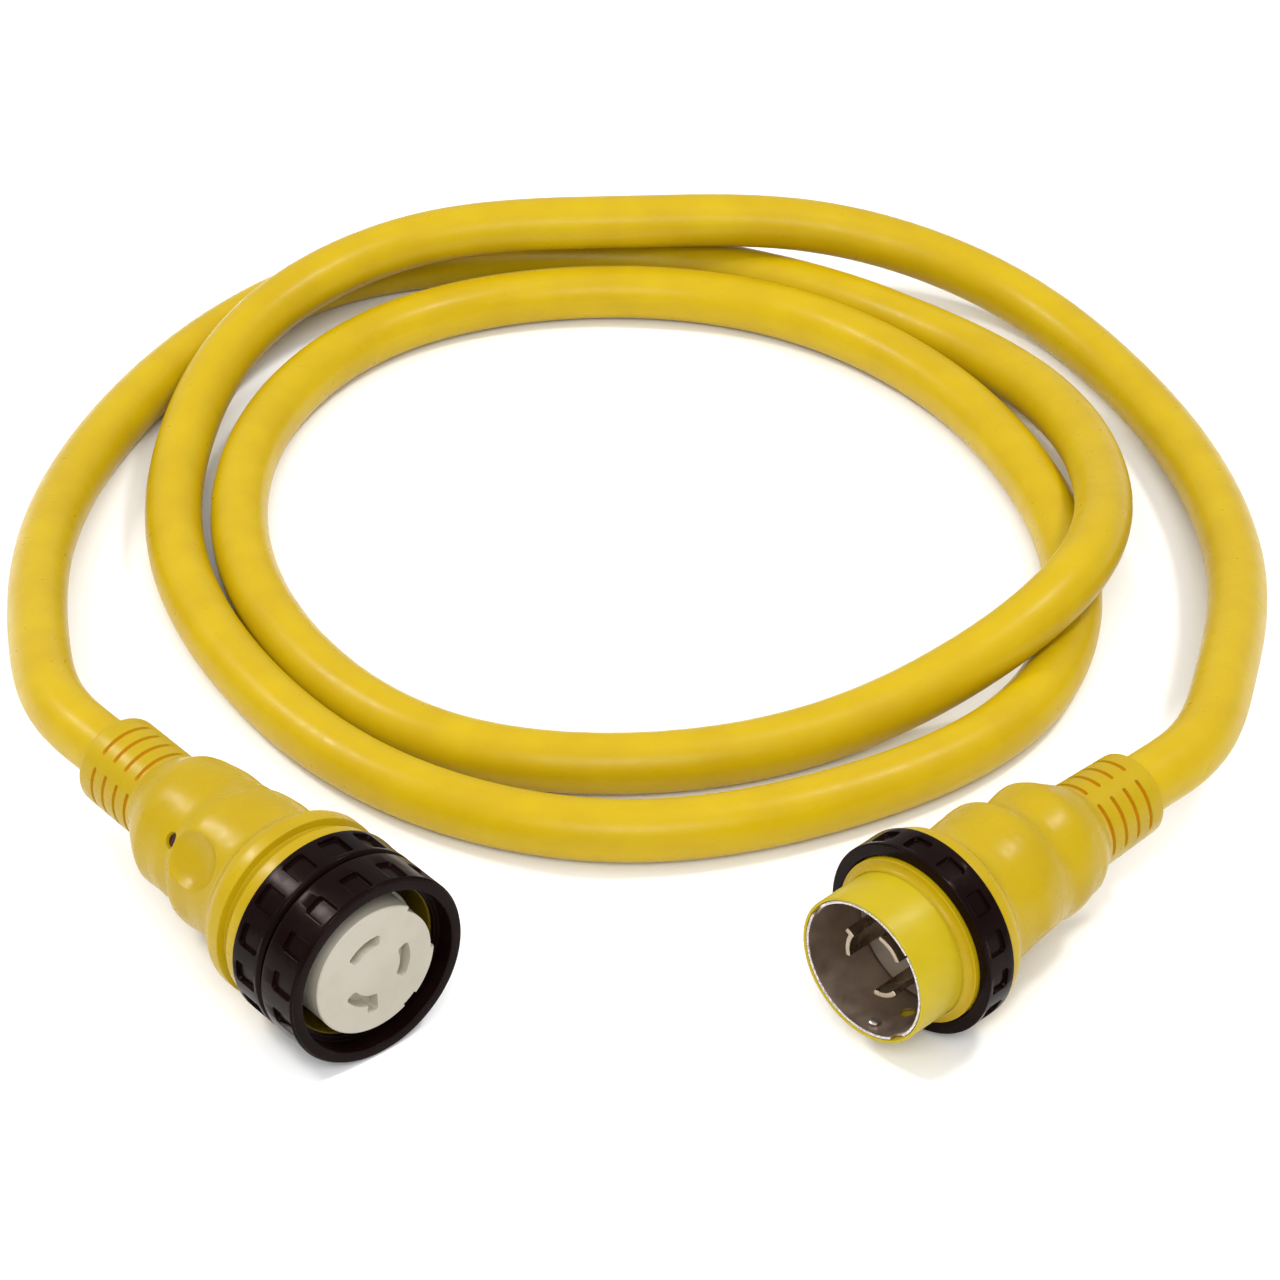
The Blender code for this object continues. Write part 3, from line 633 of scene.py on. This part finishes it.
BLADE_CIRCLE = 13.2
SLOT_ANGLES = {"line": 147.0, "neutral": 263.0, "ground": 21.0}
BLADE_ANGLES = {"line": 82.0, "neutral": -34.0, "ground": -152.0}
KEY_SECTOR = (-95.0, -37.0)
CLIP_SECTOR = (-152.0, -139.0)


def box_distance(across, along, half_across, half_along, corner):
    """Signed distance to a flat box with rounded corners."""
    u = np.abs(across) - half_across + corner
    v = np.abs(along) - half_along + corner
    return np.hypot(np.maximum(u, 0), np.maximum(v, 0)) + np.minimum(np.maximum(u, v), 0) - corner


def sector_distance(radius, angle, start, end, inner):
    """Signed distance to the part of a disc between two angles, outside a radius."""
    middle, half = (start + end) / 2, (end - start) / 2
    across = np.radians(wrapped(angle - middle)) * radius
    return np.maximum(np.abs(across) - np.radians(half) * radius, inner - radius)


def insert_depth(radius, angle):
    """How far the insulator's face lies below its front plane: contact slots and the edges of the rim."""
    depth = np.zeros_like(radius)
    for wire, middle in SLOT_ANGLES.items():
        across = np.radians(wrapped(angle - middle)) * BLADE_CIRCLE
        away = box_distance(across, radius - BLADE_CIRCLE, 6.7, 2.1, 1.2)
        if wire == "line":
            leg = np.radians(wrapped(angle - middle - 25.0)) * (BLADE_CIRCLE + 2.0)
            away = np.minimum(away, box_distance(leg, radius - BLADE_CIRCLE - 1.4, 1.9, 3.6, 0.9))
        depth = np.maximum(depth, 4.5 * smoothstep(0.5 - away / 0.45) + 0.25 * smoothstep(0.5 - away / 1.4))
    key = sector_distance(radius, angle, *KEY_SECTOR, 25.1)
    clip = sector_distance(radius, angle, *CLIP_SECTOR, 25.3)
    depth = np.maximum(depth, 14.0 * smoothstep(0.5 - key / 0.3))
    return np.maximum(depth, 20.0 * smoothstep(0.5 - clip / 0.3))


def build_insert():
    sides = 540
    radii = np.concatenate([np.linspace(0.6, 10.0, 14), np.linspace(10.25, 18.2, 46), np.linspace(18.6, 24.6, 14),
                            np.linspace(24.75, 26.2, 10), [26.45, 26.6, 26.68]])
    turn = np.linspace(0, math.tau, sides, endpoint=False)
    radius, around = np.meshgrid(radii, turn, indexing="ij")
    height = 167.3 - insert_depth(radius, wrapped(np.degrees(around)))
    height -= 0.45 * smoothstep((radius - 26.2) / 0.5)
    points = [(0.0, 0.0, 167.3)]
    points += list(np.stack([radius * np.cos(around), radius * np.sin(around), height], axis=2).reshape(-1, 3))
    rings = len(radii)
    for ring_radius, ring_height in ((26.7, 126.0), (30.9, 126.0), (30.9, 117.3)):
        points += [(ring_radius * math.cos(a), ring_radius * math.sin(a), ring_height) for a in turn]
        rings += 1
    faces = [(0, 1 + j, 1 + (j + 1) % sides) for j in range(sides)]
    for i in range(rings - 1):
        a, b = 1 + i * sides, 1 + (i + 1) * sides
        faces += [(a + j, b + j, b + (j + 1) % sides, a + (j + 1) % sides) for j in range(sides)]
    faces.append(tuple(range(1 + (rings - 1) * sides, 1 + rings * sides)))
    insert = mesh_object("insert_ivory_body", points, faces, CONNECTOR, 40.0)
    stand_for(insert, IVORY, "ivory_insulator", "cord", "connector_insert")


def build_sleeve():
    profile = rounded([(28.5, 104.4), (28.5, 152.3), (29.7, 152.3), (29.7, 104.4)], 0.5, 4, closed=True)
    sleeve = lathe("plug_sleeve_yellow", profile, PLUG, 192)
    stand_for(sleeve, SLEEVE, "yellow_sleeve", "cord", "plug_sleeve")


def build_shell():
    profile = rounded([(27.2, 112.0), (27.2, 152.0), (28.2, 152.0), (28.2, 112.0)], 0.15, 2, closed=True)
    profile = refined(profile + profile[:1], [151.5])[:-1]
    shell = lathe("plug_shell_nickel", profile, PLUG, 240)
    notches = [
        bar(f"shell_notch_{k}", arc_outline(25.0, 30.0, middle - half, middle + half), 149.5, 156.0, PLUG)
        for k, (middle, half) in enumerate(((58.0, 7.0), (-48.0, 0.8), (-140.0, 8.0)))
    ]
    window = radial_bar("shell_window", 3.0, 24.0, 31.0, -164.5, 134.0, PLUG)
    rivet_hole = radial_bar("shell_rivet_hole", 1.3, 24.0, 31.0, -176.0, 146.3, PLUG)
    carved(shell, notches + [window, rivet_hole])
    mark(shell, "cut_edge", PLUG, lambda r, h, a: (h > 151.8) * 1.0)
    stand_for(shell, SHELL, "nickel", "cord", "plug_shell")
    outline = [(0.0, 25.6), (1.6, 25.75), (2.1, 26.1), (2.2, 26.6), (1.0, 26.7), (1.0, 28.0), (0.0, 28.0)]
    turn = Matrix.Rotation(math.radians(-176.0), 4, "Z") @ Matrix.Rotation(math.radians(90), 4, "Y")
    place = PLUG @ Matrix.Translation((0.0, 0.0, 146.3)) @ turn
    rivet = lathe("rivet_head", outline, place, 32, closed=False)
    stand_for(rivet, BRIGHT, "nickel", "cord", "shell_rivet")


def build_blades():
    for wire, angle in BLADE_ANGLES.items():
        hook = 2.0 if wire == "line" else 0.0
        outline = arc_outline(BLADE_CIRCLE - 1.0, BLADE_CIRCLE + 1.0, angle + 25.0, angle - 25.0, hook, 20)
        blade = bar(f"blade_{wire}_bright", outline, 98.0, 146.0, PLUG, 0.3)
        stand_for(blade, BLADE, "nickel", "cord", f"plug_blade_{wire}")


def build_base():
    profile = rounded([(0.0, 124.0), (26.9, 124.0), (26.9, 111.7), (28.2, 111.7), (28.2, 104.3), (0.0, 104.3)], 0.3)
    base = lathe("plug_base_ivory", profile, PLUG, 144, closed=False)
    cutters = []
    for wire, angle in BLADE_ANGLES.items():
        hook = 2.0 if wire == "line" else 0.0
        outline = arc_outline(BLADE_CIRCLE - 1.35, BLADE_CIRCLE + 1.35, angle + 26.5, angle - 26.5, hook)
        cutters.append(bar(f"base_slot_{wire}", outline, 100.0, 130.0, PLUG))
    carved(base, cutters)
    # The base carries the darker, painted-shade copy of the ivory.
    stand_for(base, SHADED_BASE_IVORY, "ivory_insulator", "cord", "plug_base")


def cable_route():
    """Finely spaced points along the cable's route, in metres, and how far along each lies."""
    def behind(rear, yaw, height, distance):
        step_x, step_y = polar(distance, yaw)
        return (rear[0] - step_x, rear[1] - step_y, height)

    start = [behind(CONNECTOR_REAR, CONNECTOR_YAW, CONNECTOR_AXIS_HEIGHT, d) for d in (TOUCH_GAP, 12.0, 32.0)]
    end = [behind(PLUG_REAR, PLUG_YAW, PLUG_AXIS_HEIGHT, d) for d in (32.0, 12.0, TOUCH_GAP)]
    fine = np.array(curve_through(start + list(ROUTE) + end, 3.0))
    fine[:, 2] = np.maximum(fine[:, 2], CABLE_RADIUS + FLOOR_GAP)
    along = np.concatenate([[0.0], np.cumsum(np.linalg.norm(np.diff(fine, axis=0), axis=1))])
    wanted = np.linspace(0.0, along[-1], CABLE_RINGS)
    spaced = np.stack([np.interp(wanted, along, fine[:, i]) for i in range(3)], axis=1)
    return spaced / 1000.0, wanted / 1000.0


def build_cable():
    route, along = cable_route()
    tangent = np.gradient(route, axis=0)
    tangent /= np.linalg.norm(tangent, axis=1)[:, None]
    across = np.cross(tangent, (0.0, 0.0, 1.0))
    across /= np.linalg.norm(across, axis=1)[:, None]
    upward = np.cross(across, tangent)
    turn = np.linspace(0, math.tau, CABLE_SIDES, endpoint=False)
    radius = mm(CABLE_RADIUS)
    ring = np.cos(turn)[None, :, None] * upward[:, None, :] + np.sin(turn)[None, :, None] * across[:, None, :]
    points = (route[:, None, :] + radius * ring).reshape(-1, 3)
    faces = []
    for i in range(CABLE_RINGS - 1):
        for j in range(CABLE_SIDES):
            k = (j + 1) % CABLE_SIDES
            a, b = i * CABLE_SIDES, (i + 1) * CABLE_SIDES
            faces.append((a + j, a + k, b + k, b + j))
    faces.append(tuple(range(CABLE_SIDES)))
    faces.append(tuple(range((CABLE_RINGS - 1) * CABLE_SIDES, CABLE_RINGS * CABLE_SIDES)))
    cable = mesh_object("cable_jacket", points, faces)
    stand_for(cable, CABLE, "cable_jacket", "cord", "cable")


CABLE = moulded_yellow("cable_yellow", (0.465, 0.318, 0.0026), (0.43, 0.285, 0.0026), 0.34)


def paint_nodes():
    """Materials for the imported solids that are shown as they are."""
    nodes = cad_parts
    for wire, colour in WIRE_PAINT.items():
        for end in ("connector", "plug"):
            paint(nodes[f"{end}_conductor_{wire}"], colour)
            paint(nodes[f"{end}_terminal_{wire}"], BRASS)
        paint(nodes[f"connector_contact_{wire}"], BRASS)
    paint(nodes["ground_clip"], SHELL)
    paint(nodes["indicator_lamp"], LAMP)
    paint(nodes["socket_gasket"], RUBBER)


# ---------------------------------------------------------------- floor, light, camera


def area_light(name, place, target, size, power, colour=(1.0, 1.0, 1.0)):
    light = bpy.data.lights.new(name, "AREA")
    light.shape = "RECTANGLE"
    light.size, light.size_y = size
    light.energy = power
    light.color = colour
    obj = bpy.data.objects.new(name, light)
    obj.location = place
    obj.rotation_euler = (Vector(target) - Vector(place)).to_track_quat("-Z", "Y").to_euler()
    bpy.context.scene.collection.objects.link(obj)


def build_stage():
    size = 30.0
    floor = mesh_object("floor", [(-size, -size, 0), (size, -size, 0), (size, size, 0), (-size, size, 0)], [(0, 1, 2, 3)])
    m = Nodes("floor_white")
    m.set(colour=(0.93, 0.93, 0.93), roughness=0.9, specular=0.1)
    paint(floor, m.material)
    world = bpy.data.worlds.new("studio")
    bpy.context.scene.world = world
    world.use_nodes = True
    tree = world.node_tree
    split = tree.nodes.new("ShaderNodeSeparateXYZ")
    rise = tree.nodes.new("ShaderNodeMapRange")
    tree.links.new(tree.nodes.new("ShaderNodeTexCoord").outputs["Generated"], split.inputs["Vector"])
    tree.links.new(split.outputs["Z"], rise.inputs["Value"])
    for name, number in (("From Min", 0.30), ("From Max", 0.95), ("To Min", 0.62), ("To Max", 0.95)):
        rise.inputs[name].default_value = number
    tree.nodes["Background"].inputs["Color"].default_value = (1.0, 1.0, 1.0, 1.0)
    tree.links.new(rise.outputs["Result"], tree.nodes["Background"].inputs["Strength"])
    area_light("overhead", (0.0, 0.2, 1.9), (0.0, 0.2, 0.0), (1.8, 1.4), 3.0)
    area_light("front", (0.0, -1.8, 1.8), (0.0, 0.1, 0.0), (1.6, 1.0), 37.0)
    area_light("left", (-1.45, 0.6, 1.5), (-0.1, 0.1, 0.0), (0.32, 0.32), 17.0)
    area_light("right", (1.05, 0.3, 1.95), (0.1, 0.1, 0.0), (0.32, 0.32), 17.0)
    bpy.context.scene.view_settings.view_transform = "Standard"


def build_camera():
    camera = bpy.data.cameras.new("camera")
    camera.sensor_width = 36.0
    camera.lens = 113.1
    camera.clip_start = 0.05
    camera.clip_end = 100.0
    obj = bpy.data.objects.new("camera", camera)
    elevation = math.radians(35.0)
    target = Vector((0.0084, 0.1912, 0.0125))
    obj.location = target + 1.686 * Vector((0.0, -math.cos(elevation), math.sin(elevation)))
    obj.rotation_euler = (math.radians(90.0) - elevation, 0.0, 0.0)
    bpy.context.scene.collection.objects.link(obj)
    bpy.context.scene.camera = obj


build_cable()
build_connector_boot()
build_plug_boot()
build_rings()
build_insert()
build_sleeve()
build_shell()
build_blades()
build_base()
paint_nodes()
build_stage()
build_camera()
